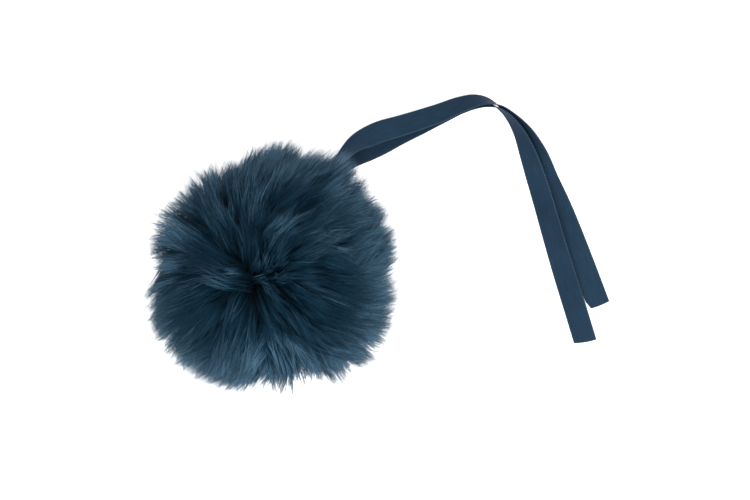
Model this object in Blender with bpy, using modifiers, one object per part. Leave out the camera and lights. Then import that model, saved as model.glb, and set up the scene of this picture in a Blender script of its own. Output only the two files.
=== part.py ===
"""A round fur pom pom with a tie of narrow satin ribbon, lying on a flat surface.

The ball stands at the origin on its small flat spot. +X is to the right, +Y is away from
the viewer and +Z is up. The ribbon leaves the fur at the upper right, folds round on its
edge and ends in two cut tails. The tables and constants are in millimetres and degrees.
"""
import math

import bmesh
import bpy
import numpy as np
from mathutils import Matrix, Vector

MM = 0.001

# Ball: a backing at the heart of the fur, and how far the locks reach from its centre
BALL_HEIGHT = 49.0
BACKING_RADIUS = 28.5
MEAN_REACH = 52.2
LOWEST_FREE_TIP = 1.0

# Locks: cells of the backing, their spacing and their spread
BROAD_LOCKS = 32
CELL_JITTER = 0.7
ROOT_GAP = 0.35
REACH_SPREAD = 0.035
TIP_JITTER = 0.9
SEED = 11

# The whorl that the fur turns away from, and how far it combs the tips over
WHORL = Vector((-11.7, -8.4, 49.9)).normalized()
COMBED = 7.0

# How far the fur reaches at the rim, by the angle from +X towards +Y
RIM_COLUMNS = ("azimuth", "reach")
RIM = (
    (0, 52.0), (10, 53.5), (25, 52.5), (35, 53.5), (43, 52.3), (57, 55.0), (70, 51.5),
    (81, 53.0), (98, 50.0), (105, 47.2), (115, 48.5), (130, 50.5), (138, 49.5),
    (153, 53.0), (167, 52.3), (177, 47.8), (187, 49.5), (193, 54.5), (206, 53.6),
    (225, 54.0), (245, 53.0), (253, 53.5), (263, 48.0), (271, 52.5), (285, 51.0),
    (291, 47.8), (300, 54.0), (310, 51.0), (322, 55.6), (337, 53.0), (350, 52.8),
)

# A lock's stages from root to tip: how far out, and its width against the root's
STAGE_COLUMNS = ("out", "width", "resting_width")
STAGES = (
    (0.36, 1.20, 1.15),
    (0.72, 1.18, 1.05),
    (1.00, 0.34, 0.62),
)

# Ribbon: a single strip, folded at its middle
RIBBON_WIDTH = 10.0
RIBBON_THICKNESS = 1.0
FOLD_RADIUS = 1.75
FOLD_STEPS = 10
STATION_STEP = 1.8
ACROSS = 4
FUR_CLEARANCE = 1.6
AXIS_CLEARANCE = 3.6

# The cut ends: slant and bulge of the front one, bulge and snipped corner of the back one
FRONT_SLANT = 1.2
END_BULGE = 0.4
SNIP_ACROSS = 1.2
SNIP_ALONG = 3.6

# Each leg's middle line from the root to the cut end. The roll turns the strip about its
# line of travel: at 0 it lies face up, at -90 it stands on its left edge.
LEG_COLUMNS = ("x", "y", "z", "roll")
BACK_LEG = (
    (15.3, 27.4, 45.0, -62),
    (19.9, 34.5, 42.0, -63),
    (25.3, 42.3, 37.5, -64),
    (30.3, 48.9, 31.5, -60),
    (34.5, 53.5, 26.8, -45),
    (39.2, 57.0, 21.5, -25),
    (46.2, 60.6, 15.8, -17),
    (54.9, 63.4, 11.6, -21),
    (63.7, 66.3, 8.9, -26),
    (72.5, 69.4, 7.2, -32),
    (81.4, 73.0, 6.3, -42),
    (88.0, 74.9, 5.9, -54),
    (93.5, 74.8, 5.7, -70),
    (99.1, 72.4, 5.6, -90),
    (104.2, 68.1, 5.5, -104),
    (110.0, 61.4, 4.8, -122),
    (114.4, 53.5, 3.5, -145),
    (117.6, 46.3, 1.7, -169),
    (120.0, 40.8, 0.5, -180),
    (126.5, 26.9, 0.5, -180),
    (134.4, 7.4, 0.5, -180),
    (143.0, -15.2, 0.5, -180),
)
FRONT_LEG = (
    (15.3, 27.4, 45.0, -62),
    (21.1, 32.9, 40.0, -62),
    (27.0, 40.3, 34.5, -58),
    (31.4, 45.4, 29.5, -48),
    (35.6, 48.8, 24.6, -36),
    (40.5, 51.8, 19.0, -27),
    (46.6, 55.2, 13.4, -23),
    (55.0, 59.9, 8.9, -26),
    (63.3, 64.0, 6.3, -30),
    (72.6, 68.6, 4.9, -36),
    (81.0, 72.0, 4.4, -49),
    (88.0, 73.5, 4.8, -61),
    (93.3, 73.3, 5.1, -73),
    (98.9, 71.2, 5.3, -90),
    (102.9, 67.7, 5.3, -100),
    (107.5, 60.9, 5.0, -114),
    (111.1, 52.3, 4.4, -130),
    (114.5, 42.3, 3.8, -141),
    (118.3, 30.1, 3.3, -147),
    (122.9, 14.3, 2.8, -153),
    (127.4, -0.7, 2.3, -160),
    (132.1, -15.5, 1.6, -168),
    (136.9, -31.2, 1.3, -172),
)

# Colours of the two materials, linear
FUR_BLUE = (0.013, 0.034, 0.057, 1.0)
SATIN_BLUE = (0.031, 0.058, 0.088, 1.0)


def empty_scene():
    for old in list(bpy.data.objects):
        bpy.data.objects.remove(old, do_unlink=True)


def material(name, colour, roughness):
    mat = bpy.data.materials.new(name)
    mat.use_nodes = True
    shader = mat.node_tree.nodes["Principled BSDF"]
    shader.inputs["Base Color"].default_value = colour
    shader.inputs["Roughness"].default_value = roughness
    shader.inputs["Metallic"].default_value = 0.0
    mat.diffuse_color = colour
    return mat


def add_object(name, mesh, mat, collection):
    obj = bpy.data.objects.new(name, mesh)
    obj.data.materials.append(mat)
    collection.objects.link(obj)
    return obj


# Ribbon

def through(stations, step):
    """Smooth curve through the stations, evenly enough spaced for a strip."""
    rows = np.array(stations, dtype=float)
    first = 2 * rows[0] - rows[1]
    last = 2 * rows[-1] - rows[-2]
    rows = np.vstack([first, rows, last])
    spans = np.linalg.norm(np.diff(rows[:, :3], axis=0), axis=1)
    knots = np.concatenate([[0.0], np.cumsum(np.sqrt(spans))])
    pieces = []
    for i in range(1, len(rows) - 2):
        p0, p1, p2, p3 = rows[i - 1:i + 3]
        t0, t1, t2, t3 = knots[i - 1:i + 3]
        count = max(2, round(spans[i] / step))
        t = np.linspace(t1, t2, count, endpoint=False)[:, None]
        a1 = ((t1 - t) * p0 + (t - t0) * p1) / (t1 - t0)
        a2 = ((t2 - t) * p1 + (t - t1) * p2) / (t2 - t1)
        a3 = ((t3 - t) * p2 + (t - t2) * p3) / (t3 - t2)
        b1 = ((t2 - t) * a1 + (t - t0) * a2) / (t2 - t0)
        b2 = ((t3 - t) * a2 + (t - t1) * a3) / (t3 - t1)
        pieces.append(((t2 - t) * b1 + (t - t1) * b2) / (t2 - t1))
    pieces.append(rows[-2:-1])
    return np.vstack(pieces)


def strip_frames(points, roll):
    """Line of travel, width direction and face normal at each point."""
    travel = np.gradient(points, axis=0)
    travel /= np.linalg.norm(travel, axis=1)[:, None]
    level = np.cross([0.0, 0.0, 1.0], travel)
    level /= np.linalg.norm(level, axis=1)[:, None]
    upward = np.cross(travel, level)
    angle = np.radians(roll)[:, None]
    width = level * np.cos(angle) + upward * np.sin(angle)
    return travel, width, np.cross(travel, width)


def leg(stations, side):
    """One leg of the folded ribbon, its root moved to its own side of the fold.

    Each row is raised where its lower edge would otherwise pass under the floor.
    """
    rows = [list(row) for row in stations]
    start = through(rows[:3], STATION_STEP)
    _, _, normal = strip_frames(start[:, :3], start[:, 3])
    rows[0][:3] = np.array(rows[0][:3]) + side * FOLD_RADIUS * normal[0]
    curve = through(rows, STATION_STEP)
    travel, width, normal = strip_frames(curve[:, :3], curve[:, 3])
    points = curve[:, :3].copy()
    edge = 0.5 * RIBBON_WIDTH * np.abs(width[:, 2])
    skin = 0.5 * RIBBON_THICKNESS * np.abs(normal[:, 2])
    points[:, 2] = np.maximum(points[:, 2], edge + skin)
    return points, travel, width


def from_end(points):
    """Distance of each row of a leg from its cut end."""
    steps = np.linalg.norm(np.diff(points, axis=0), axis=1)
    return np.concatenate([np.cumsum(steps[::-1])[::-1], [0.0]])


def leg_rows(points, travel, width, slant, snipped):
    """Rows of points across the leg, with the shape of its cut end."""
    across = np.linspace(-0.5, 0.5, ACROSS + 1) * RIBBON_WIDTH
    rows = np.repeat(across[None, :], len(points), axis=0)
    if snipped:
        taken = SNIP_ACROSS * np.clip(1.0 - from_end(points) / SNIP_ALONG, 0.0, 1.0)
        rows = np.minimum(rows, 0.5 * RIBBON_WIDTH - taken[:, None])
    strip = points[:, None, :] + rows[:, :, None] * width[:, None, :]
    at = across / (0.5 * RIBBON_WIDTH)
    cut = END_BULGE * (1.0 - at ** 2) - 0.5 * slant * at
    strip[-1] += cut[:, None] * travel[-1]
    return strip


def ribbon_grid():
    """The whole strip from the back tail's end, round the fold, to the front tail's end."""
    back = leg(BACK_LEG, +1.0)
    front = leg(FRONT_LEG, -1.0)
    back_rows = leg_rows(*back, slant=0.0, snipped=True)
    front_rows = leg_rows(*front, slant=FRONT_SLANT, snipped=False)
    middle = 0.5 * (back[0][0] + front[0][0])
    outward = 0.5 * (back[0][0] - front[0][0])
    radius = np.linalg.norm(outward)
    width = back[2][0] + front[2][0]
    width -= outward * np.dot(width, outward) / radius ** 2
    width /= np.linalg.norm(width)
    inward = np.cross(width, outward)
    if np.dot(inward, back[1][0]) > 0.0:
        inward = -inward
    turn = np.linspace(0.0, math.pi, FOLD_STEPS + 1)[1:-1, None]
    fold = middle + outward * np.cos(turn) + inward * np.sin(turn)
    across = np.linspace(-0.5, 0.5, ACROSS + 1) * RIBBON_WIDTH
    fold_rows = fold[:, None, :] + across[None, :, None] * width
    return np.concatenate([back_rows[::-1], fold_rows, front_rows])


def between(grid):
    """The points of the strip with the ones half way between them, as one list."""
    rows = np.concatenate([grid, 0.5 * (grid[1:] + grid[:-1])])
    both = np.concatenate([rows, 0.5 * (rows[:, 1:] + rows[:, :-1])], axis=1)
    return both.reshape(-1, 3)


def make_ribbon(grid, mat, collection):
    count, wide = grid.shape[:2]
    index = np.arange(count * wide).reshape(count, wide)
    corners = (index[:-1, :-1], index[:-1, 1:], index[1:, 1:], index[1:, :-1])
    faces = np.stack(corners, axis=-1).reshape(-1, 4)
    mesh = bpy.data.meshes.new("satin_ribbon")
    mesh.from_pydata((grid.reshape(-1, 3) * MM).tolist(), [], faces.tolist())
    obj = add_object("satin_ribbon", mesh, mat, collection)
    solidify = obj.modifiers.new("thickness", "SOLIDIFY")
    solidify.thickness = RIBBON_THICKNESS * MM
    solidify.offset = 0.0
    solidify.use_even_offset = True
    return obj


# Fur

def backing_cells(rng):
    """A faceted ball with a face square to -Z, some faces joined in pairs."""
    cells = bmesh.new()
    bmesh.ops.create_icosphere(cells, subdivisions=3, radius=BACKING_RADIUS)
    lowest = min(cells.faces, key=lambda face: face.calc_center_median().z)
    down = Vector((0.0, 0.0, -1.0))
    turn = lowest.calc_center_median().rotation_difference(down).to_matrix()
    bmesh.ops.rotate(cells, cent=(0, 0, 0), matrix=turn, verts=cells.verts)
    kept_still = set(lowest.verts)
    for vert in cells.verts:
        if vert not in kept_still:
            vert.co += Vector(rng.uniform(-CELL_JITTER, CELL_JITTER, 3))
            vert.co *= BACKING_RADIUS / vert.co.length
    free = set(cells.faces) - {lowest}
    joined = []
    for i in rng.permutation(len(cells.edges)):
        cells.edges.ensure_lookup_table()
        pair = cells.edges[int(i)].link_faces
        if len(joined) < BROAD_LOCKS and all(face in free for face in pair):
            free -= set(pair)
            joined.append(cells.edges[int(i)])
    bmesh.ops.dissolve_edges(cells, edges=joined)
    return cells


def rim_reach(direction):
    """Reach of the fur in one direction: the rim's table, fading to the mean at the poles."""
    azimuth = math.degrees(math.atan2(direction.y, direction.x)) % 360.0
    at = [row[0] for row in RIM]
    reach = [row[1] for row in RIM]
    rim = float(np.interp(azimuth, at, reach, period=360.0))
    level = direction.x ** 2 + direction.y ** 2
    return MEAN_REACH + (rim - MEAN_REACH) * level


def combed_over(direction):
    """Sideways shift of a tip, away from the whorl and fading out at the rim."""
    angle = WHORL.angle(direction)
    if angle < 0.01 or angle > 0.5 * math.pi:
        return Vector((0.0, 0.0, 0.0))
    away = direction * WHORL.dot(direction) - WHORL
    return away.normalized() * COMBED * math.sin(2.0 * angle)


def lock_stages(face, rng):
    """Centre and width of each stage of the lock that grows from a face of the backing."""
    root = face.calc_center_median()
    direction = root.normalized()
    reach = rim_reach(direction) * (1.0 + rng.uniform(-REACH_SPREAD, REACH_SPREAD))
    jitter = Vector(rng.uniform(-TIP_JITTER, TIP_JITTER, 3))
    jitter -= direction * jitter.dot(direction)
    shift = combed_over(direction) + jitter
    tip = (direction * reach + shift).normalized() * reach
    rests = BALL_HEIGHT + tip.z < LOWEST_FREE_TIP
    if rests:
        tip *= -BALL_HEIGHT / tip.z
    if direction.z < -0.9999:
        tip = Vector((0.0, 0.0, -BALL_HEIGHT))
    stages = []
    for out, width, resting_width in STAGES:
        bent = root.lerp(root + direction * (tip - root).length, out)
        centre = bent.lerp(root.lerp(tip, out), out)
        stages.append((centre, resting_width if rests else width))
    return root, stages, rests


def clear_of(samples, root, stages, corners):
    """Whether a lock keeps its distance from the ribbon's sampled middle surface."""
    centres = [np.array(root)] + [np.array(centre) for centre, _ in stages]
    widths = [1.0] + [width for _, width in stages]
    offsets = np.array([corner - root for corner in corners])
    ring = np.concatenate([offsets, 0.5 * (offsets + np.roll(offsets, 1, axis=0))])
    for i in range(len(centres) - 1):
        for part in np.linspace(0.0, 1.0, 6):
            centre = centres[i] * (1 - part) + centres[i + 1] * part
            width = widths[i] * (1 - part) + widths[i + 1] * part
            edge = centre + ring * width
            gaps = np.linalg.norm(samples[:, None, :] - edge[None], axis=2)
            axis_gap = np.linalg.norm(samples - centre, axis=1)
            if gaps.min() < FUR_CLEARANCE or axis_gap.min() < AXIS_CLEARANCE * width:
                return False
    return True


def grow_lock(cells, face, root, stages, rests):
    """Extrudes one face through the stages of its lock."""
    old_centre = root
    old_width = 1.0
    for centre, width in stages:
        face = bmesh.ops.extrude_discrete_faces(cells, faces=[face])["faces"][0]
        for vert in face.verts:
            vert.co = centre + (vert.co - old_centre) * (width / old_width)
        old_centre = centre
        old_width = width
    if rests:
        for vert in face.verts:
            vert.co.z = -BALL_HEIGHT


def make_fur(ribbon_samples, mat, collection):
    rng = np.random.default_rng(SEED)
    cells = backing_cells(rng)
    samples = ribbon_samples - np.array([0.0, 0.0, BALL_HEIGHT])
    growing = []
    for face in list(cells.faces):
        root, stages, rests = lock_stages(face, rng)
        corners = [vert.co.copy() for vert in face.verts]
        if clear_of(samples, root, stages, corners):
            growing.append((face, root, stages, rests))
    faces = [item[0] for item in growing]
    bmesh.ops.inset_individual(cells, faces=faces, thickness=ROOT_GAP)
    for face, root, stages, rests in growing:
        grow_lock(cells, face, root, stages, rests)
    bmesh.ops.transform(cells, matrix=Matrix.Scale(MM, 4), verts=cells.verts)
    bmesh.ops.recalc_face_normals(cells, faces=cells.faces)
    mesh = bpy.data.meshes.new("fur_pompom")
    cells.to_mesh(mesh)
    cells.free()
    obj = add_object("fur_pompom", mesh, mat, collection)
    obj.location = (0.0, 0.0, BALL_HEIGHT * MM)
    return obj


empty_scene()
pom_pom = bpy.data.collections.new("pom_pom")
bpy.context.scene.collection.children.link(pom_pom)
grid = ribbon_grid()
make_ribbon(grid, material("satin", SATIN_BLUE, 0.45), pom_pom)
make_fur(between(grid), material("fur", FUR_BLUE, 0.85), pom_pom)
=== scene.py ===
import bpy
import numpy as np
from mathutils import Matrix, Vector


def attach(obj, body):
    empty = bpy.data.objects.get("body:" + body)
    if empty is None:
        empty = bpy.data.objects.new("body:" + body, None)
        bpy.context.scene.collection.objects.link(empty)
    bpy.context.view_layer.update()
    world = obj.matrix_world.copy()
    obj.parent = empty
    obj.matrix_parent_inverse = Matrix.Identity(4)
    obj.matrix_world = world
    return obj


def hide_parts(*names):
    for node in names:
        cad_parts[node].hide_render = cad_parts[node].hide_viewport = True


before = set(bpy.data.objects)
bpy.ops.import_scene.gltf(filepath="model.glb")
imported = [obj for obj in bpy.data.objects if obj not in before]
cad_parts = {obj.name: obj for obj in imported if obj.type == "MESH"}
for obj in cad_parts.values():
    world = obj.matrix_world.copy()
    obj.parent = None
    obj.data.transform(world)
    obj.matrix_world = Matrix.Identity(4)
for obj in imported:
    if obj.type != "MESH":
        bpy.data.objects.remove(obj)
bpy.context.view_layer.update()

# A round fur pom pom on a narrow satin ribbon. The ball is made of fine hairs, gathered into
# locks that are combed away from one whorl; the ribbon is one strip folded in half.
# Tables and constants are in millimetres and degrees; meshes are in metres.

MM = 0.001

# Ball
BALL_HEIGHT = 49.0
BACKING_RADIUS = 28.0
HAIR_ROOT = 26.5
MEAN_REACH = 51.6
LOWEST_TIP = 0.25

# Locks: how many, how many tufts in each and how many hairs in a tuft
LOCKS = 900
TUFTS = 8
HAIRS = 8
HAIR_WIDTH = 0.22
CROWDING = 0.42
RINGS = np.array([0.0, 0.36, 0.70, 1.0])
RING_WIDTH = np.array([0.8, 1.0, 0.9, 0.0])
SEED = 7

WIDTH_SPREAD = (0.70, 1.30)
GOLDEN_ANGLE = 2.39996323

# How a lock lies: its root's scatter, and its lean in radians at the whorl and away from it
ROOT_SCATTER = 0.025
WHORL_LEAN = 0.10
OPEN_LEAN = 0.36
LEAN_GROWTH = 0.33
LEAN_END = 1.9
LEAN_FADE = 0.7
LEAST_LEAN = 0.06
LEAN_SPREAD = 0.30
LEAN_LIMITS = (0.02, 0.85)

# How far locks turn off their combing, in radians, and how the spots turn and lift them
SWIRL = 0.60
SWIRL_SCALE = 3.8
MUDDLE = 0.32
WHORL_MUDDLE = 0.60
WHORL_MUDDLE_SIZE = 0.13
TIP_AHEAD = 0.85
PUSH = 1.6
PUSH_LEAN = 0.10
LIFT_SPREAD = 1.6

# How tufts and hairs stand in a lock, in mm at the root, and how they draw together
TUFT_WIDTH = 1.40
HAIR_SPREAD = 0.70
LOCK_GATHER = (0.30, 0.72)
TUFT_GATHER = (0.42, 0.94)
STRAYS = 0.08
BEND_POWER = 1.3
GATHER_POWER = 1.4
TUFT_BEND = 0.05
TUFT_WAVE = 0.8
LOCK_WAVE = 1.5
TUFT_FLICK = 1.6
HAIR_FLICK = 0.5

# How the lengths vary: a share of the reach for each hair, and millimetres for each tuft
HAIR_SHORTER = 0.045
TUFT_LENGTH = 1.5
EXTRA_REACH = 1.2
REACH_CAP = 2.6
SPIKE_CAP = 2.0
SPIKE_FROM = 0.9

# Share of the pale colour in a middling hair on the crown, how much more it has at the rim,
# which is painted light from the white surroundings, and how it varies, as powers of e, over
# the ball and between locks, tufts and hairs
PALENESS = 0.06
RIM_PAINTED_LIGHT = 0.25
LEAST_TINT = 0.03
PALE_WAVES = 0.25
PALE_SCALE = 3.2
LOCK_PALE = 0.40
# Painted light: locks rooted by the whorl are paler, lifting the shade in the pit there
WHORL_PAINTED_LIGHT = 0.45
WHORL_PAINTED_LIGHT_SIZE = 0.17
TUFT_PALE = 0.30
HAIR_PALE = 1.0
TINT_LIMITS = (0.02, 0.97)

# Tufts that stand out: how far, and where round the rim they stand out furthest
SPIKE = 2.4
SPIKE_AZIMUTH = 277.0
SPIKE_SPREAD = 24.0
SPIKE_EXTRA = 2.2

# Whorl that the fur turns away from, in plan from the ball's centre
WHORL = np.array([-8.0, -3.3, 49.25]) / 50.0
WHORL_DRAW = 0.46
WHORL_SIZE = 0.50

# How far the fur reaches at the rim, by the angle from +X towards +Y
RIM = np.array([
    (0, 50.4), (8, 51.4), (16, 52.7), (24, 52.6), (32, 53.1), (40, 53.5), (50, 56.5),
    (57, 58.0), (64, 55.5), (72, 52.3), (80, 53.7), (88, 52.2), (96, 51.0), (104, 46.6),
    (112, 48.5), (120, 50.4), (128, 51.9), (136, 50.5), (144, 50.2), (152, 54.9),
    (160, 52.5), (168, 50.8), (176, 46.6), (184, 46.2), (192, 53.8), (200, 55.0),
    (208, 54.7), (216, 54.4), (224, 54.6), (232, 53.3), (240, 51.2), (248, 50.9),
    (256, 49.8), (264, 43.8), (272, 45.6), (280, 47.2), (288, 47.2), (296, 48.2),
    (304, 59.0), (312, 53.6), (320, 57.5), (328, 57.0), (336, 54.3), (344, 54.0),
    (352, 54.2),
])
RIM_AZIMUTH, RIM_REACH = RIM.T

# Places on the upper side where the fur is lifted, pressed down, turned, paler or darker.
# The last column is partly paler locks and partly painted light: negative values paint shade
# in hollows and on sides turned from the light, and some positive ones lift the shade in pits.
# The push is the angle in plan that the tips are turned towards. x and y are on a ball of
# SPOT_RADIUS.
SPOT_RADIUS = 50.0
SPOTS = np.array([
    (-7.5, 36.0, 10.5, 0.5, 97.0, 1.2, 0.28),
    (0.0, 24.0, 9.0, 0.0, 80.0, 0.0, -0.09),
    (3.1, 45.6, 8.0, 1.0, 90.0, 1.2, 0.20),
    (-9.5, -7.5, 8.0, 1.5, 90.0, 0.0, 0.34),
    (-2.0, 6.5, 4.0, 0.0, 75.0, 1.6, -0.06),
    (2.5, 14.5, 3.8, 2.5, 58.0, 2.4, 0.22),
    (9.3, 21.9, 3.8, 3.0, 45.0, 2.4, 0.32),
    (-5.5, 18.0, 7.0, -6.0, 85.0, 0.8, -0.60),
    (14.5, 32.0, 4.0, -6.0, 60.0, 0.8, -0.50),
    (17.0, 9.0, 6.0, -1.0, 30.0, 0.0, -0.25),
    (20.5, 33.5, 7.5, -9.0, 62.0, 0.8, -0.80),
    (30.0, 36.5, 6.0, 2.0, 70.0, 1.2, 0.25),
    (-17.5, 34.0, 6.0, 0.5, 105.0, 0.8, 0.30),
    (-26.5, 17.0, 10.0, -0.5, 106.0, 2.0, -0.35),
    (-34.5, 9.5, 4.5, -4.0, 115.0, 1.0, -0.50),
    (-32.0, 14.0, 8.5, -10.0, 112.0, 1.0, -0.50),
    (-22.5, 20.5, 5.5, 3.0, 125.0, 3.0, 0.80),
    (-27.0, 7.5, 4.5, -4.0, 112.0, 1.0, -0.30),
    (-42.5, 18.0, 5.5, 1.0, 160.0, 1.2, 0.80),
    (-46.0, -1.0, 7.5, 0.5, 178.0, 0.8, 0.75),
    (-11.0, -13.0, 5.0, 2.5, 142.0, 4.5, 0.45),
    (-18.0, -8.5, 5.0, 3.5, 142.0, 4.5, 0.30),
    (-25.5, -2.5, 5.0, 3.0, 140.0, 4.5, 0.12),
    (-32.5, 4.0, 6.0, 1.5, 142.0, 3.0, -0.04),
    (-30.0, -21.0, 15.0, 0.0, 205.0, 1.0, -0.18),
    (-25.0, -35.0, 6.0, 0.0, 230.0, 0.0, -0.25),
    (-14.0, -26.0, 9.0, -1.0, 240.0, 0.0, -0.08),
    (-3.5, -18.5, 5.0, 1.5, 142.0, 4.0, 0.06),
    (-6.7, -24.0, 5.5, 2.0, 255.0, 1.6, 0.00),
    (3.0, -22.0, 12.0, -1.0, 275.0, 0.6, -0.30),
    (-4.5, -38.5, 5.5, 5.0, 205.0, 3.2, 0.85),
    (5.5, -39.0, 6.5, 6.0, 270.0, 1.6, 1.05),
    (15.0, -38.0, 5.5, 5.0, 335.0, 3.2, 0.85),
    (5.4, -27.0, 7.0, -11.0, 275.0, 0.8, -0.45),
    (42.8, 17.3, 9.0, 0.5, 22.0, 0.8, 0.20),
    (30.0, -15.0, 17.0, 0.0, 330.0, 1.0, -0.50),
])
SPOT_X, SPOT_Y, SPOT_SIZE, SPOT_LIFT, SPOT_PUSH, SPOT_STRENGTH, SPOT_PALE_AND_PAINTED_SHADE = SPOTS.T

# Ribbon: one strip, folded at its middle
RIBBON_WIDTH = 10.0
RIBBON_THICKNESS = 0.35
FOLD_RADIUS = 1.75
FOLD_STEPS = 14
STATION_STEP = 1.0
ACROSS = 16
FRONT_SLANT = 1.2
END_BULGE = 0.4
SNIP_ACROSS = 1.2
SNIP_ALONG = 3.6
SELVEDGE_RISE = 0.05
SELVEDGE_WIDTH = 0.35
HAIR_CLEARANCE = 0.5

# Each leg's middle line, from the root in the fur to the cut end: x, y, z and roll
BACK_LEG = (
    (15.3, 27.4, 45.0, -62),
    (19.9, 34.5, 42.0, -63),
    (25.3, 42.3, 37.5, -64),
    (30.3, 48.9, 31.5, -60),
    (34.5, 53.5, 26.8, -45),
    (39.2, 57.0, 21.5, -25),
    (46.2, 60.6, 15.8, -17),
    (54.9, 63.4, 11.6, -21),
    (63.7, 66.3, 8.9, -26),
    (72.5, 69.4, 7.2, -32),
    (81.4, 73.0, 6.3, -42),
    (88.0, 74.9, 5.9, -54),
    (93.5, 74.8, 5.7, -70),
    (99.1, 72.4, 5.6, -90),
    (104.2, 68.1, 5.5, -104),
    (110.0, 61.4, 4.8, -122),
    (114.4, 53.5, 3.5, -145),
    (117.6, 46.3, 1.7, -169),
    (120.0, 40.8, 0.5, -180),
    (126.5, 26.9, 0.5, -180),
    (134.4, 7.4, 0.5, -180),
    (143.0, -15.2, 0.5, -180),
)
FRONT_LEG = (
    (15.3, 27.4, 45.0, -62),
    (21.1, 32.9, 40.0, -62),
    (27.0, 40.3, 34.5, -58),
    (31.4, 45.4, 29.5, -48),
    (35.6, 48.8, 24.6, -36),
    (40.5, 51.8, 19.0, -27),
    (46.6, 55.2, 13.4, -23),
    (55.0, 59.9, 8.9, -26),
    (63.3, 64.0, 6.3, -30),
    (72.6, 68.6, 4.9, -36),
    (81.0, 72.0, 4.4, -49),
    (88.0, 73.5, 4.8, -61),
    (93.3, 73.3, 5.1, -73),
    (98.9, 71.2, 5.3, -90),
    (102.9, 67.7, 5.3, -100),
    (107.5, 60.9, 5.0, -114),
    (111.1, 52.3, 4.4, -130),
    (114.5, 42.3, 3.8, -141),
    (118.3, 30.1, 3.3, -147),
    (122.9, 14.3, 2.8, -153),
    (127.4, -0.7, 2.3, -160),
    (132.1, -15.5, 1.6, -168),
    (136.9, -31.2, 1.3, -172),
)


def linear(hex_colour):
    """sRGB hex to linear: c / 12.92 below 0.04045, else ((c + 0.055) / 1.055) to 2.4."""
    code = hex_colour.lstrip("#")
    srgb = np.array([int(code[i:i + 2], 16) for i in (0, 2, 4)]) / 255.0
    low = srgb / 12.92
    high = ((srgb + 0.055) / 1.055) ** 2.4
    return (*np.where(srgb <= 0.04045, low, high).tolist(), 1.0)


def node(tree, kind, settings=None, links=None):
    """Adds a shader node, sets its properties and inputs, and links the sockets given."""
    made = tree.nodes.new(kind)
    for name, value in (settings or {}).items():
        if isinstance(name, int) or name in made.inputs:
            made.inputs[name].default_value = value
        else:
            setattr(made, name, value)
    for name, socket in (links or {}).items():
        tree.links.new(socket, made.inputs[name])
    return made


def new_material(name):
    mat = bpy.data.materials.new(name)
    mat.use_nodes = True
    return mat, mat.node_tree, mat.node_tree.nodes["Principled BSDF"]


def unit(vectors):
    """Each vector divided by its length."""
    return vectors / np.maximum(np.linalg.norm(vectors, axis=-1, keepdims=True), 1e-9)


def surface(name, points, faces, mat, uv=None, smooth=True):
    """A mesh piece from whole arrays: points in mm, faces all with the same corner count."""
    corners = faces.shape[1]
    mesh = bpy.data.meshes.new(name)
    mesh.vertices.add(len(points))
    mesh.vertices.foreach_set("co", (points * MM).astype(np.float32).ravel())
    mesh.loops.add(faces.size)
    mesh.loops.foreach_set("vertex_index", faces.astype(np.int32).ravel())
    mesh.polygons.add(len(faces))
    mesh.polygons.foreach_set("loop_start", np.arange(0, faces.size, corners, dtype=np.int32))
    mesh.polygons.foreach_set("use_smooth", np.full(len(faces), smooth))
    mesh.update(calc_edges=True)
    if uv is not None:
        layer = mesh.uv_layers.new(name="OFBake")
        layer.uv.foreach_set("vector", uv.astype(np.float32).ravel())
    mesh.validate()
    piece = bpy.data.objects.new(name, mesh)
    piece.data.materials.append(mat)
    bpy.context.scene.collection.objects.link(piece)
    return piece


# Ribbon

def through(stations, step):
    """Smooth curve through the stations: each span blends the two parabolas around it."""
    rows = np.array(stations, dtype=float)
    rows = np.vstack([2 * rows[0] - rows[1], rows, 2 * rows[-1] - rows[-2]])
    spans = np.linalg.norm(np.diff(rows[:, :3], axis=0), axis=1)
    knots = np.concatenate([[0.0], np.cumsum(np.sqrt(spans))])
    pieces = []
    for i in range(1, len(rows) - 2):
        p0, p1, p2, p3 = rows[i - 1:i + 3]
        t0, t1, t2, t3 = knots[i - 1:i + 3]
        count = max(2, round(spans[i] / step))
        t = np.linspace(t1, t2, count, endpoint=False)[:, None]
        a1 = ((t1 - t) * p0 + (t - t0) * p1) / (t1 - t0)
        a2 = ((t2 - t) * p1 + (t - t1) * p2) / (t2 - t1)
        a3 = ((t3 - t) * p2 + (t - t2) * p3) / (t3 - t2)
        b1 = ((t2 - t) * a1 + (t - t0) * a2) / (t2 - t0)
        b2 = ((t3 - t) * a2 + (t - t1) * a3) / (t3 - t1)
        pieces.append(((t2 - t) * b1 + (t - t1) * b2) / (t2 - t1))
    pieces.append(rows[-2:-1])
    return np.vstack(pieces)


def strip_frames(points, roll):
    """Travel t, width cos(roll) h + sin(roll) u and normal t x width, with h level, u = t x h."""
    travel = unit(np.gradient(points, axis=0))
    level = unit(np.cross([0.0, 0.0, 1.0], travel))
    upward = np.cross(travel, level)
    angle = np.radians(roll)[:, None]
    width = level * np.cos(angle) + upward * np.sin(angle)
    return travel, width, np.cross(travel, width)


def leg(stations, side):
    """One leg of the folded ribbon, kept above the floor by half its width and thickness."""
    rows = [list(row) for row in stations]
    start = through(rows[:3], STATION_STEP)
    _, _, normal = strip_frames(start[:, :3], start[:, 3])
    rows[0][:3] = np.array(rows[0][:3]) + side * FOLD_RADIUS * normal[0]
    curve = through(rows, STATION_STEP)
    travel, width, normal = strip_frames(curve[:, :3], curve[:, 3])
    points = curve[:, :3].copy()
    lowest = 0.5 * RIBBON_WIDTH * np.abs(width[:, 2]) + 0.5 * np.abs(normal[:, 2])
    points[:, 2] = np.maximum(points[:, 2], lowest)
    return points, travel, width


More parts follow.
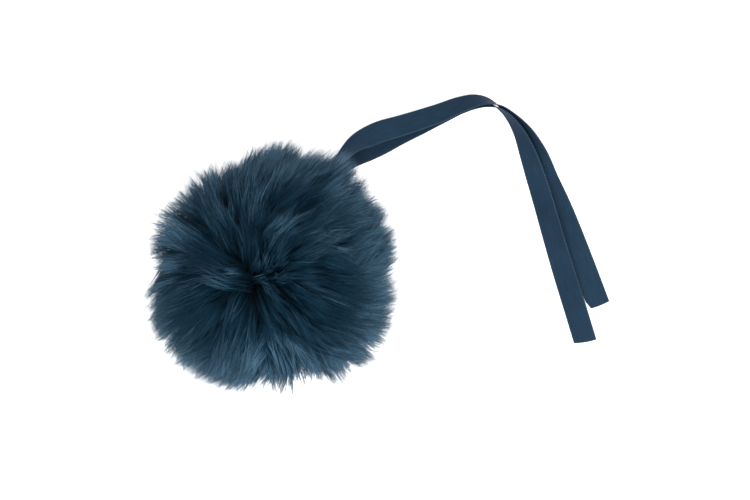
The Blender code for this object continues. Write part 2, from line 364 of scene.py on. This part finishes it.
def leg_rows(points, travel, width, slant, snipped):
    """Rows p + v w across a leg; the last row adds the cut's curve, bulge (1 - a a) - slant a."""
    across = np.linspace(-0.5, 0.5, ACROSS + 1) * RIBBON_WIDTH
    rows = np.repeat(across[None, :], len(points), axis=0)
    steps = np.linalg.norm(np.diff(points, axis=0), axis=1)
    to_end = np.concatenate([np.cumsum(steps[::-1])[::-1], [0.0]])
    if snipped:
        taken = SNIP_ACROSS * np.clip(1.0 - to_end / SNIP_ALONG, 0.0, 1.0)
        rows = np.minimum(rows, 0.5 * RIBBON_WIDTH - taken[:, None])
    strip = points[:, None, :] + rows[:, :, None] * width[:, None, :]
    at = across / (0.5 * RIBBON_WIDTH)
    cut = END_BULGE * (1.0 - at ** 2) - 0.5 * slant * at
    strip[-1] += cut[:, None] * travel[-1]
    return strip


def ribbon_grid():
    """The strip from the back tail's end, round the half circle of the fold, to the front's."""
    back = leg(BACK_LEG, +1.0)
    front = leg(FRONT_LEG, -1.0)
    back_rows = leg_rows(*back, slant=0.0, snipped=True)
    front_rows = leg_rows(*front, slant=FRONT_SLANT, snipped=False)
    middle = 0.5 * (back[0][0] + front[0][0])
    outward = 0.5 * (back[0][0] - front[0][0])
    width = back[2][0] + front[2][0]
    width = unit(width - outward * np.dot(width, outward) / np.dot(outward, outward))
    inward = np.cross(width, outward)
    inward *= -np.sign(np.dot(inward, back[1][0]))
    turn = np.linspace(0.0, np.pi, FOLD_STEPS + 1)[1:-1, None]
    fold = middle + outward * np.cos(turn) + inward * np.sin(turn)
    across = np.linspace(-0.5, 0.5, ACROSS + 1) * RIBBON_WIDTH
    fold_rows = fold[:, None, :] + across[None, :, None] * width
    return np.concatenate([back_rows[::-1], fold_rows, front_rows])


def satin_material():
    """Polyester satin, woven and heat-cut: a close smooth face with a soft broad shine."""
    mat, tree, shader = new_material("polyester_satin")
    uv = node(tree, "ShaderNodeUVMap", {"uv_map": "strip"})
    parts = node(tree, "ShaderNodeSeparateXYZ", links={"Vector": uv.outputs["UV"]})
    across, along = parts.outputs["X"], parts.outputs["Y"]
    place = node(tree, "ShaderNodeTexCoord")
    # Selvedge: the outer half millimetre of each side is a firmer, slightly paler cord
    from_edge = node(tree, "ShaderNodeMath", {"operation": "PINGPONG", 1: 0.5}, {0: across})
    edge = node(tree, "ShaderNodeMapRange",
                {"From Min": 0.035, "From Max": 0.06, "To Min": 1.0, "To Max": 0.0},
                {"Value": from_edge.outputs[0]})
    # Picks at the selvedge, drawn 0.9 mm apart to show; the real ones are near 0.25 mm
    picks = node(tree, "ShaderNodeMath", {"operation": "MULTIPLY", 1: 2.0 * np.pi / 0.9},
                 {0: along})
    beat = node(tree, "ShaderNodeMath", {"operation": "SINE"}, {0: picks.outputs[0]})
    # Threads along the strip: long fine streaks about 0.3 mm apart
    wide = node(tree, "ShaderNodeMath", {"operation": "MULTIPLY", 1: 34.0}, {0: across})
    long = node(tree, "ShaderNodeMath", {"operation": "MULTIPLY", 1: 0.12}, {0: along})
    stretch = node(tree, "ShaderNodeCombineXYZ", links={0: wide.outputs[0], 1: long.outputs[0]})
    threads = node(tree, "ShaderNodeTexNoise", {"Scale": 1.0, "Detail": 2.0},
                   {"Vector": stretch.outputs[0]})
    cloud = node(tree, "ShaderNodeTexNoise", {"Scale": 60.0, "Detail": 3.0},
                 {"Vector": place.outputs["Object"]})
    streaks = node(tree, "ShaderNodeMath", {"operation": "MULTIPLY", 1: 0.55},
                   {0: threads.outputs["Fac"]})
    tone = node(tree, "ShaderNodeMath", {"operation": "MULTIPLY_ADD", 1: 0.45},
                {0: cloud.outputs["Fac"], 2: streaks.outputs[0]})
    ramp = node(tree, "ShaderNodeValToRGB", links={"Fac": tone.outputs[0]})
    ramp.color_ramp.elements[0].position = 0.25
    ramp.color_ramp.elements[0].color = linear("#1e2f3f")
    ramp.color_ramp.elements[1].position = 0.75
    ramp.color_ramp.elements[1].color = linear("#2b4257")
    dots = node(tree, "ShaderNodeMath", {"operation": "MULTIPLY_ADD", 1: 0.32, 2: 0.0},
                {0: beat.outputs[0]})
    at_edge = node(tree, "ShaderNodeMath", {"operation": "MULTIPLY", "use_clamp": True},
                   {0: dots.outputs[0], 1: edge.outputs[0]})
    colour = node(tree, "ShaderNodeMix", {"data_type": "RGBA", 7: linear("#6f8798")},
                  {0: at_edge.outputs[0], 6: ramp.outputs["Color"]})
    bump = node(tree, "ShaderNodeBump", {"Strength": 0.25, "Distance": 0.00008},
                {"Height": threads.outputs["Fac"]})
    ridge = node(tree, "ShaderNodeBump", {"Strength": 0.2, "Distance": 0.0001},
                 {"Height": edge.outputs[0], "Normal": bump.outputs[0]})
    tree.links.new(colour.outputs[2], shader.inputs["Base Color"])
    tree.links.new(ridge.outputs[0], shader.inputs["Normal"])
    shader.inputs["Roughness"].default_value = 0.6
    shader.inputs["Specular IOR Level"].default_value = 0.02
    return mat


def make_ribbon(grid):
    """The strip as two faces h/2 either side of the middle surface along its normals."""
    count, wide = grid.shape[:2]
    normal = unit(np.cross(np.gradient(grid, axis=0), np.gradient(grid, axis=1)))
    # The selvedges are 0.1 mm fuller than the face of the cloth
    across = np.abs(np.linspace(-1.0, 1.0, wide))
    inwards = (1.0 - across) * 0.5 * RIBBON_WIDTH
    half = 0.5 * RIBBON_THICKNESS + SELVEDGE_RISE * np.exp(-(inwards / SELVEDGE_WIDTH) ** 2)
    top = grid + normal * half[None, :, None]
    under = grid - normal * half[None, :, None]
    points = np.concatenate([top.reshape(-1, 3), under.reshape(-1, 3)])
    index = np.arange(count * wide).reshape(count, wide)
    low = index + count * wide
    ring = np.concatenate([index[:, 0], index[-1, 1:], index[-2::-1, -1], index[0, -2:0:-1]])
    ring_low = ring + count * wide
    corners = (index[:-1, :-1], index[1:, :-1], index[1:, 1:], index[:-1, 1:])
    upper = np.stack(corners, axis=-1).reshape(-1, 4)
    corners = (low[:-1, :-1], low[:-1, 1:], low[1:, 1:], low[1:, :-1])
    lower = np.stack(corners, axis=-1).reshape(-1, 4)
    rim = np.stack([ring, ring_low, np.roll(ring_low, -1), np.roll(ring, -1)], axis=-1)
    faces = np.concatenate([upper, lower, rim])
    steps = np.linalg.norm(np.diff(grid[:, wide // 2], axis=0), axis=1)
    along = np.concatenate([[0.0], np.cumsum(steps)])
    u = np.tile(np.linspace(0.0, 1.0, wide), (count, 1))
    v = np.tile(along[:, None], (1, wide))
    per_point = np.tile(np.stack([u, v], axis=-1).reshape(-1, 2), (2, 1))
    piece = surface("satin_tie", points, faces, satin_material(), per_point[faces.ravel()])
    piece.data.uv_layers[0].name = "strip"
    length = float(along[-1])
    return piece, length


# Fur

def spread_evenly(count):
    """Directions z = 1 - 2q(1 - c + cq), q = (k + 1/2) / n, turned by the golden angle k times.

    c is the crowding: the locks stand closer at the crown than underneath.
    """
    k = np.arange(count)
    q = (k + 0.5) / count
    z = 1.0 - 2.0 * q * (1.0 - CROWDING + CROWDING * q)
    across = np.sqrt(1.0 - z ** 2)
    turn = GOLDEN_ANGLE * k
    return np.stack([across * np.cos(turn), across * np.sin(turn), z], axis=-1)


def waves(directions, rng, scale, count=9):
    """Smooth noise on the ball: the mean of sines of seeded plane waves, about -1 to 1."""
    along = unit(rng.normal(size=(count, 3))) * scale
    phase = rng.uniform(0.0, 2.0 * np.pi, count)
    return np.sin(directions @ along.T + phase).sum(axis=-1) / np.sqrt(count)


def reach_of(directions):
    """Reach of the fur: the mean plus (rim table - mean) (x x + y y), kept above the floor."""
    azimuth = np.degrees(np.arctan2(directions[..., 1], directions[..., 0])) % 360.0
    rim = np.interp(azimuth, RIM_AZIMUTH, RIM_REACH, period=360.0)
    level = directions[..., 0] ** 2 + directions[..., 1] ** 2
    reach = MEAN_REACH + (rim - MEAN_REACH) * level
    down = np.maximum(-directions[..., 2], 1e-6)
    return np.minimum(reach, (BALL_HEIGHT - LOWEST_TIP) / down)


def spot_weights(directions):
    """Weight exp(-(distance / size)^3) of each spot on each direction, on the spots' ball."""
    height = np.sqrt(SPOT_RADIUS ** 2 - SPOT_X ** 2 - SPOT_Y ** 2)
    centres = np.stack([SPOT_X, SPOT_Y, height], axis=-1)
    gap = np.linalg.norm(directions[..., None, :] * SPOT_RADIUS - centres, axis=-1)
    return np.exp(-(gap / SPOT_SIZE) ** 3)


def lock_guides(rng):
    """Root direction, combing direction, lean, lift and paleness of every lock; the paleness
    holds painted light on the locks round the whorl.

    A root at angle a from the whorl is drawn in to a (1 - draw exp(-a / size)). Its lock is
    combed away from the whorl, turned by waves and noise, and then pushed by the spots near
    its tip. It leans by whorl lean + open lean (1 - exp(-a / growth)), less underneath.
    """
    even = unit(spread_evenly(LOCKS) + rng.normal(size=(LOCKS, 3)) * ROOT_SCATTER)
    away = unit(even - WHORL * (even @ WHORL)[:, None])
    angle = np.arccos(np.clip(even @ WHORL, -1.0, 1.0))
    angle = angle * (1.0 - WHORL_DRAW * np.exp(-angle / WHORL_SIZE))
    root = WHORL * np.cos(angle)[:, None] + away * np.sin(angle)[:, None]
    away = away * np.cos(angle)[:, None] - WHORL * np.sin(angle)[:, None]
    lean = WHORL_LEAN + OPEN_LEAN * (1.0 - np.exp(-angle / LEAN_GROWTH))
    lean = lean * np.clip(LEAN_END - angle, 0.0, 1.0) ** LEAN_FADE + LEAST_LEAN
    side = np.cross(root, away)
    muddle = MUDDLE + WHORL_MUDDLE * np.exp(-(angle / WHORL_MUDDLE_SIZE) ** 2)
    swirl = SWIRL * waves(root, rng, SWIRL_SCALE) + muddle * rng.normal(size=LOCKS)
    comb = away * np.cos(swirl)[:, None] + side * np.sin(swirl)[:, None]
    weights = spot_weights(unit(root + comb * TIP_AHEAD * lean[:, None]))
    push = np.radians(SPOT_PUSH)
    towards = np.stack([np.cos(push), np.sin(push), np.zeros(len(push))], axis=-1)
    pushed = (weights * SPOT_STRENGTH) @ towards
    comb = unit(comb + PUSH * pushed)
    comb = unit(comb - root * np.sum(comb * root, axis=-1, keepdims=True))
    lean = lean * (1.0 + LEAN_SPREAD * rng.normal(size=LOCKS))
    lean = lean + PUSH_LEAN * np.linalg.norm(pushed, axis=-1)
    lift = weights @ SPOT_LIFT + LIFT_SPREAD * rng.normal(size=LOCKS)
    pale = PALE_WAVES * waves(root, rng, PALE_SCALE) + LOCK_PALE * rng.normal(size=LOCKS)
    # Painted light: locks round the whorl are paler, lifting the shade in the pit there
    pale = pale + WHORL_PAINTED_LIGHT * np.exp(-(angle / WHORL_PAINTED_LIGHT_SIZE) ** 2)
    return root, comb, np.clip(lean, *LEAN_LIMITS), lift, pale


def hair_paths(rng):
    """Points of every hair, as (locks, tufts, hairs, rings, 3), and each hair's paleness.

    At the share f of its length a hair has turned from the ball's radius by lean f^bend power
    towards its lock's combing direction. It keeps its own place in its tuft and the tuft its
    place in the lock, both drawn together towards the tip by 1 - gather f^gather power. Waves
    go with f sin(pi f) and flicks with f^2. Its length is the fur's reach, less a share for
    the hair, plus its lock's lift, its tuft's own length and its tuft's spike. Its paleness
    is (crown + rim (1 - z z) + spots) times e to the sum of its lock's, tuft's and own noise.
    The rim term is painted light, and the spots hold painted shade and painted light as well
    as paler locks.
    """
    root, comb, lean, lift, pale = lock_guides(rng)
    shape = (LOCKS, TUFTS, HAIRS)
    f = RINGS[None, None, None, :]
    bend = rng.normal(size=(LOCKS, TUFTS, 1, 1)) * TUFT_BEND
    turn = lean[:, None, None, None] * f ** BEND_POWER + bend * f ** 2
    ahead = root[:, None, None, None, :]
    over = comb[:, None, None, None, :]
    line = ahead * np.cos(turn)[..., None] + over * np.sin(turn)[..., None]
    over_there = over * np.cos(turn)[..., None] - ahead * np.sin(turn)[..., None]
    side = np.cross(root, comb)[:, None, None, None, :]

    tuft = rng.normal(size=(LOCKS, TUFTS, 1, 1, 2)) * TUFT_WIDTH
    hair = rng.normal(size=(*shape, 1, 2)) * HAIR_SPREAD
    lock_gather = rng.uniform(*LOCK_GATHER, (LOCKS, 1, 1, 1))
    tuft_gather = rng.uniform(*TUFT_GATHER, (LOCKS, TUFTS, 1, 1))
    stray = rng.uniform(size=(*shape, 1)) < STRAYS
    tuft_gather = np.where(stray, 0.0, tuft_gather)
    out = 1.0 + (MEAN_REACH / HAIR_ROOT - 1.0) * f
    tuft_spread = out * (1.0 - lock_gather * f ** GATHER_POWER)
    hair_spread = out * (1.0 - tuft_gather * f ** GATHER_POWER)
    wave = (rng.normal(size=(LOCKS, TUFTS, 1, 1)) * TUFT_WAVE
            + rng.normal(size=(LOCKS, 1, 1, 1)) * LOCK_WAVE)
    wave = wave * np.sin(np.pi * f) * f
    wave = wave + (rng.normal(size=(LOCKS, TUFTS, 1, 1)) * TUFT_FLICK
                   + rng.normal(size=(*shape, 1)) * HAIR_FLICK) * f ** 2
    offset = tuft * tuft_spread[..., None] + hair * hair_spread[..., None]
    offset_side = offset[..., 1] + wave

    direction = unit(line * (HAIR_ROOT * out)[..., None]
                     + over_there * offset[..., 0:1] + side * offset_side[..., None])
    tip = direction[..., -1, :]
    reach = reach_of(tip)
    reach = reach * (1.0 - np.abs(rng.normal(size=shape)) * HAIR_SHORTER)
    reach += (lift[:, None, None] + rng.normal(size=(LOCKS, TUFTS, 1)) * TUFT_LENGTH
              + EXTRA_REACH)
    azimuth = np.degrees(np.arctan2(tip[..., 1], tip[..., 0])) % 360.0
    spike = 1.0 + SPIKE_EXTRA * np.exp(-((azimuth - SPIKE_AZIMUTH) / SPIKE_SPREAD) ** 2)
    reach += SPIKE * spike * np.maximum(rng.normal(size=(LOCKS, TUFTS, 1)) - SPIKE_FROM, 0.0)
    reach = np.minimum(reach, reach_of(tip) + REACH_CAP + SPIKE_CAP * spike)
    down = np.maximum(-tip[..., 2], 1e-6)
    reach = np.minimum(reach, (BALL_HEIGHT - LOWEST_TIP) / down)
    radius = HAIR_ROOT + (reach[..., None] - HAIR_ROOT) * f
    paths = direction * radius[..., None]
    middle = unit(tip.mean(axis=2))
    # Painted light: hairs towards the rim are paler, standing in for light from the white
    # surroundings
    tint = PALENESS + RIM_PAINTED_LIGHT * (1.0 - middle[..., 2] ** 2)
    # The spots' paleness paints shade in hollows and away from the light and lifts shade in pits,
    # besides paler locks
    tint = np.maximum(tint + spot_weights(middle) @ SPOT_PALE_AND_PAINTED_SHADE, LEAST_TINT)
    vary = pale[:, None] + TUFT_PALE * rng.normal(size=(LOCKS, TUFTS))
    vary = vary[..., None] + HAIR_PALE * rng.normal(size=shape)
    return paths, tint[..., None] * np.exp(vary)


def clear_of_ribbon(paths, grid):
    """Which hairs keep HAIR_CLEARANCE from the ribbon, tested at and between their rings."""
    furthest_fur, near_cosine, batches = 62.0, 0.72, 40
    samples = grid[::2, ::2].reshape(-1, 3) - np.array([0.0, 0.0, BALL_HEIGHT])
    samples = samples[np.linalg.norm(samples, axis=1) < furthest_fur].astype(np.float32)
    halves = 0.5 * (paths[:, 1:] + paths[:, :-1])
    quarters = 0.75 * paths[:, 1:] + 0.25 * paths[:, :-1]
    points = np.concatenate([paths, halves, quarters], axis=1).astype(np.float32)
    towards = unit(samples.mean(axis=0))
    near = np.max(unit(points) @ towards, axis=1) > near_cosine
    clear = np.ones(len(paths), dtype=bool)
    for part in np.array_split(np.flatnonzero(near), batches):
        gap = np.linalg.norm(points[part][:, :, None, :] - samples[None, None], axis=-1)
        clear[part] = gap.min(axis=(1, 2)) > HAIR_CLEARANCE
    return clear


def hair_meshes(paths, tint, rng):
    """Vertices, triangles and UVs of closed three-sided hairs that taper to a point.

    Ring k of a hair is path(k) + w(k) (cos a e1 + sin a e2) at a = 0, 120 and 240 degrees,
    where e1 and e2 are square to the hair. u holds the hair's tint and v runs root to tip.
    """
    count, rings = paths.shape[:2]
    travel = unit(np.gradient(paths, axis=1))
    aside = unit(np.cross(travel[:, 1], rng.normal(size=(count, 3))))
    e1 = unit(aside[:, None, :] - travel * np.sum(travel * aside[:, None, :], -1, keepdims=True))
    e2 = np.cross(travel, e1)
    width = 0.5 * HAIR_WIDTH * rng.uniform(*WIDTH_SPREAD, (count, 1)) * RING_WIDTH[None, :]
    angle = np.radians([0.0, 120.0, 240.0])
    ring = (e1[:, :, None, :] * np.cos(angle)[None, None, :, None]
            + e2[:, :, None, :] * np.sin(angle)[None, None, :, None])
    ring = paths[:, :, None, :] + ring * width[:, :, None, None]
    body = ring[:, :-1].reshape(count, -1, 3)
    points = np.concatenate([body, paths[:, -1:]], axis=1)
    per_hair = points.shape[1]
    one = []
    for k in range(rings - 2):
        for j in range(3):
            a, b = 3 * k + j, 3 * k + (j + 1) % 3
            one += [(a, b, b + 3), (a, b + 3, a + 3)]
    for j in range(3):
        one.append((3 * (rings - 2) + j, 3 * (rings - 2) + (j + 1) % 3, per_hair - 1))
    one.append((0, 2, 1))
    one = np.array(one)
    faces = (np.arange(count)[:, None, None] * per_hair + one[None]).reshape(-1, 3)
    at = np.concatenate([np.repeat(RINGS[:-1], 3), [1.0]])
    v = np.tile(0.02 + 0.96 * at[one].reshape(1, -1), (count, 1))
    sliver = np.tile(np.array([0.0, 0.003, 0.0015]), len(one))
    u = tint[:, None] + sliver[None, :]
    uv = np.stack([u, v], axis=-1).reshape(-1, 2)
    return points.reshape(-1, 3), faces, uv


def fur_material():
    """Dyed long-haired fur: dark towards the skin, paler and greyer at the tips; partly its own
    colour, partly painted shade at the roots and painted light on the tips.
    """
    mat, tree, shader = new_material("dyed_fur")
    uv = node(tree, "ShaderNodeUVMap", {"uv_map": "OFBake"})
    parts = node(tree, "ShaderNodeSeparateXYZ", links={"Vector": uv.outputs["UV"]})
    deep = node(tree, "ShaderNodeValToRGB", links={"Fac": parts.outputs["Y"]})
    pale = node(tree, "ShaderNodeValToRGB", links={"Fac": parts.outputs["Y"]})
    # Root to tip along v: the darker roots are partly painted shade, the paler tips partly
    # painted light
    for ramp, stops in (
        (deep, ((0.22, "#232d35"), (0.55, "#132d3d"), (0.95, "#0e364c"))),
        (pale, ((0.25, "#122633"), (0.60, "#244f69"), (0.95, "#78a3c0"))),
    ):
        elements = ramp.color_ramp.elements
        elements.new(0.5)
        for element, (position, colour) in zip(elements, stops):
            element.position = position
            element.color = linear(colour)
    colour = node(tree, "ShaderNodeMix", {"data_type": "RGBA"},
                  {0: parts.outputs["X"], 6: deep.outputs["Color"], 7: pale.outputs["Color"]})
    tree.links.new(colour.outputs[2], shader.inputs["Base Color"])
    shader.inputs["Roughness"].default_value = 0.5
    shader.inputs["Specular IOR Level"].default_value = 0.05
    return mat


def backing_material():
    """Dense underfur at the heart of the ball: nearly black blue, felted and quite matt."""
    mat, tree, shader = new_material("felted_underfur")
    place = node(tree, "ShaderNodeTexCoord")
    fuzz = node(tree, "ShaderNodeTexNoise", {"Scale": 900.0, "Detail": 4.0},
                {"Vector": place.outputs["Object"]})
    ramp = node(tree, "ShaderNodeValToRGB", links={"Fac": fuzz.outputs["Fac"]})
    ramp.color_ramp.elements[0].color = linear("#030910")
    ramp.color_ramp.elements[1].color = linear("#0a1d2e")
    tree.links.new(ramp.outputs["Color"], shader.inputs["Base Color"])
    bump = node(tree, "ShaderNodeBump", {"Strength": 0.6, "Distance": 0.0006},
                {"Height": fuzz.outputs["Fac"]})
    tree.links.new(bump.outputs[0], shader.inputs["Normal"])
    shader.inputs["Roughness"].default_value = 0.9
    return mat


def make_backing(rng):
    """Lumpy ball r = R + 0.5 n(direction), on a grid of azimuth and height, poles closed."""
    around, rows = 96, 47
    azimuth = np.arange(around) * 2.0 * np.pi / around
    polar = np.linspace(0.0, np.pi, rows + 2)[1:-1]
    z = np.cos(polar)[:, None] + 0.0 * azimuth
    x = np.sin(polar)[:, None] * np.cos(azimuth)
    y = np.sin(polar)[:, None] * np.sin(azimuth)
    grid = np.stack([x, y, z], axis=-1).reshape(-1, 3)
    ends = np.array([[0.0, 0.0, 1.0], [0.0, 0.0, -1.0]])
    directions = np.concatenate([grid, ends])
    radius = BACKING_RADIUS - 0.5 + 0.25 * waves(directions, rng, 14.0)
    points = directions * radius[:, None] + np.array([0.0, 0.0, BALL_HEIGHT])
    index = np.arange(rows * around).reshape(rows, around)
    right = np.roll(index, -1, axis=1)
    quads = np.stack([index[:-1], index[1:], right[1:], right[:-1]], axis=-1).reshape(-1, 4)
    first = np.stack([quads[:, 0], quads[:, 1], quads[:, 2]], axis=-1)
    second = np.stack([quads[:, 0], quads[:, 2], quads[:, 3]], axis=-1)
    top = np.full(around, rows * around)
    north = np.stack([top, index[0], right[0]], axis=-1)
    south = np.stack([top + 1, right[-1], index[-1]], axis=-1)
    faces = np.concatenate([first, second, north, south])
    return surface("fur_backing", points, faces, backing_material())


ribbon_rows = ribbon_grid()
ribbon, ribbon_length = make_ribbon(ribbon_rows)
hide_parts("satin_ribbon")
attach(ribbon, "root")

rng = np.random.default_rng(SEED)
backing = make_backing(rng)
all_paths, all_tint = hair_paths(rng)
fur = fur_material()
fur_pieces = [backing]
bands = ("fur_crown", "fur_upper", "fur_middle", "fur_lower", "fur_base")
for name, locks in zip(bands, np.array_split(np.arange(LOCKS), len(bands))):
    paths = all_paths[locks].reshape(-1, len(RINGS), 3)
    tint = np.clip(all_tint[locks].reshape(-1), *TINT_LIMITS)
    clear = clear_of_ribbon(paths, ribbon_rows)
    points, faces, uv = hair_meshes(paths[clear], tint[clear], rng)
    points = points + np.array([0.0, 0.0, BALL_HEIGHT])
    fur_pieces.append(surface(name, points, faces, fur, uv))
for piece in fur_pieces:
    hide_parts("fur_pompom")
    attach(piece, "root")

# Floor, light and camera
floor_mat, floor_tree, floor_shader = new_material("white_paper")
floor_shader.inputs["Base Color"].default_value = linear("#f4f4f4")
floor_shader.inputs["Roughness"].default_value = 0.9
floor_shader.inputs["Emission Color"].default_value = linear("#ffffff")
floor_shader.inputs["Emission Strength"].default_value = 0.72
corner = 3000.0
floor_points = np.array([(-corner, -corner, 0), (corner, -corner, 0),
                         (corner, corner, 0), (-corner, corner, 0)], dtype=float)
floor = surface("floor", floor_points, np.array([[0, 1, 2, 3]]), floor_mat, smooth=False)

world = bpy.data.worlds.new("studio")
world.use_nodes = True
world.node_tree.nodes["Background"].inputs["Color"].default_value = linear("#ffffff")
world.node_tree.nodes["Background"].inputs["Strength"].default_value = 0.55
bpy.context.scene.world = world

# Each light's name, place, size, watts and aim, in metres
LIGHTS = (
    ("overhead_box", (-0.12, -0.36, 1.08), 0.6, 7.4, (0.0, 0.0, 0.05)),
    ("front_box", (0.55, -0.10, 0.60), 0.5, 2.4, (0.14, 0.0, 0.03)),
)
for name, place, size, watts, aim in LIGHTS:
    lamp = bpy.data.lights.new(name, "AREA")
    lamp.size = size
    lamp.energy = watts
    holder = bpy.data.objects.new(name, lamp)
    along = np.array(place) - np.array(aim)
    holder.rotation_euler = Vector(along).to_track_quat("Z", "Y").to_euler()
    holder.location = place
    bpy.context.scene.collection.objects.link(holder)

lens = bpy.data.cameras.new("camera")
lens.lens = 100.0
lens.sensor_width = 36.0
camera = bpy.data.objects.new("camera", lens)
camera.location = (0.0440, 0.0092, 0.922)
bpy.context.scene.collection.objects.link(camera)
bpy.context.scene.camera = camera
bpy.context.scene.view_settings.view_transform = "Standard"
